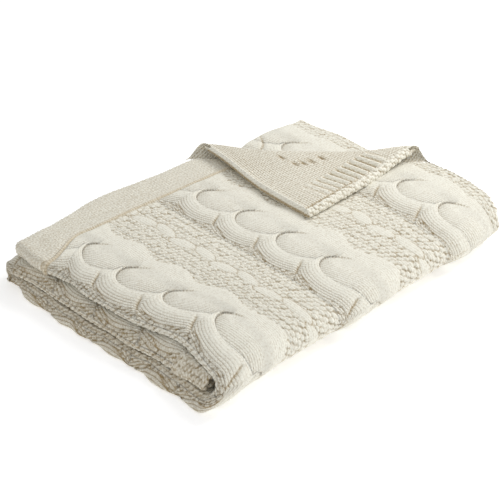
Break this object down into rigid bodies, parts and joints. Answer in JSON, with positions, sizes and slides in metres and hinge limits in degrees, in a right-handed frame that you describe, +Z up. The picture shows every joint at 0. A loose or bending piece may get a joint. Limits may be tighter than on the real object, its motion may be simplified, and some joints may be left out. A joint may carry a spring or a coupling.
{
  "type": "folded throw blanket",
  "caption": "Chunky cable-knit throw folded into a flat rectangular stack, with a flat hem band and one turned-back corner.",
  "frame": {"origin": "centre of the folded throw's underside, on the surface it lies on", "axes": "+X across the knit columns, from the closed lengthwise fold to the open side edges; +Y along the knit columns, from the front fold to the visible hem; +Z up"},
  "size_m": [0.665, 0.495, 0.0805],
  "materials": {
    "cable_knit": "cream cotton yarn, cable knit",
    "moss_knit": "cream cotton yarn, moss stitch",
    "hem_knit": "cream cotton yarn, flat hem knit",
    "reverse_knit": "cream cotton yarn, reverse side of the knit",
    "linking_yarn": "slightly darker linking seam yarn"
  },
  "bodies": {
    "folded_stack": {"bottom_panel": "cable_knit", "bottom_side_border": "moss_knit", "middle_panel": "cable_knit", "middle_side_border": "moss_knit", "inner_link_seam": "linking_yarn", "inner_hem_band": "hem_knit", "front_fold": "cable_knit", "front_fold_border": "moss_knit", "back_fold": "cable_knit", "back_fold_border": "moss_knit"},
    "top_layer": {"top_panel": "cable_knit", "top_side_border": "moss_knit", "top_link_seam": "linking_yarn", "top_hem_band": "hem_knit"},
    "turned_corner": {"corner_panel": "reverse_knit", "corner_side_border": "reverse_knit", "corner_link_seam": "linking_yarn", "corner_hem_band": "hem_knit"}
  },
  "joints": [
    {"name": "top_layer_lift", "type": "hinge", "parent": "folded_stack", "child": "top_layer", "pos_m": [0, -0.2148, 0.0654], "axis": [1, 0, 0], "range_deg": [0, 85]},
    {"name": "corner_turn", "type": "hinge", "parent": "top_layer", "child": "turned_corner", "pos_m": [0.1505, 0.1505, 0.0657], "axis": [-0.7071, 0.7071, 0], "range_deg": [0, 170]}
  ]
}
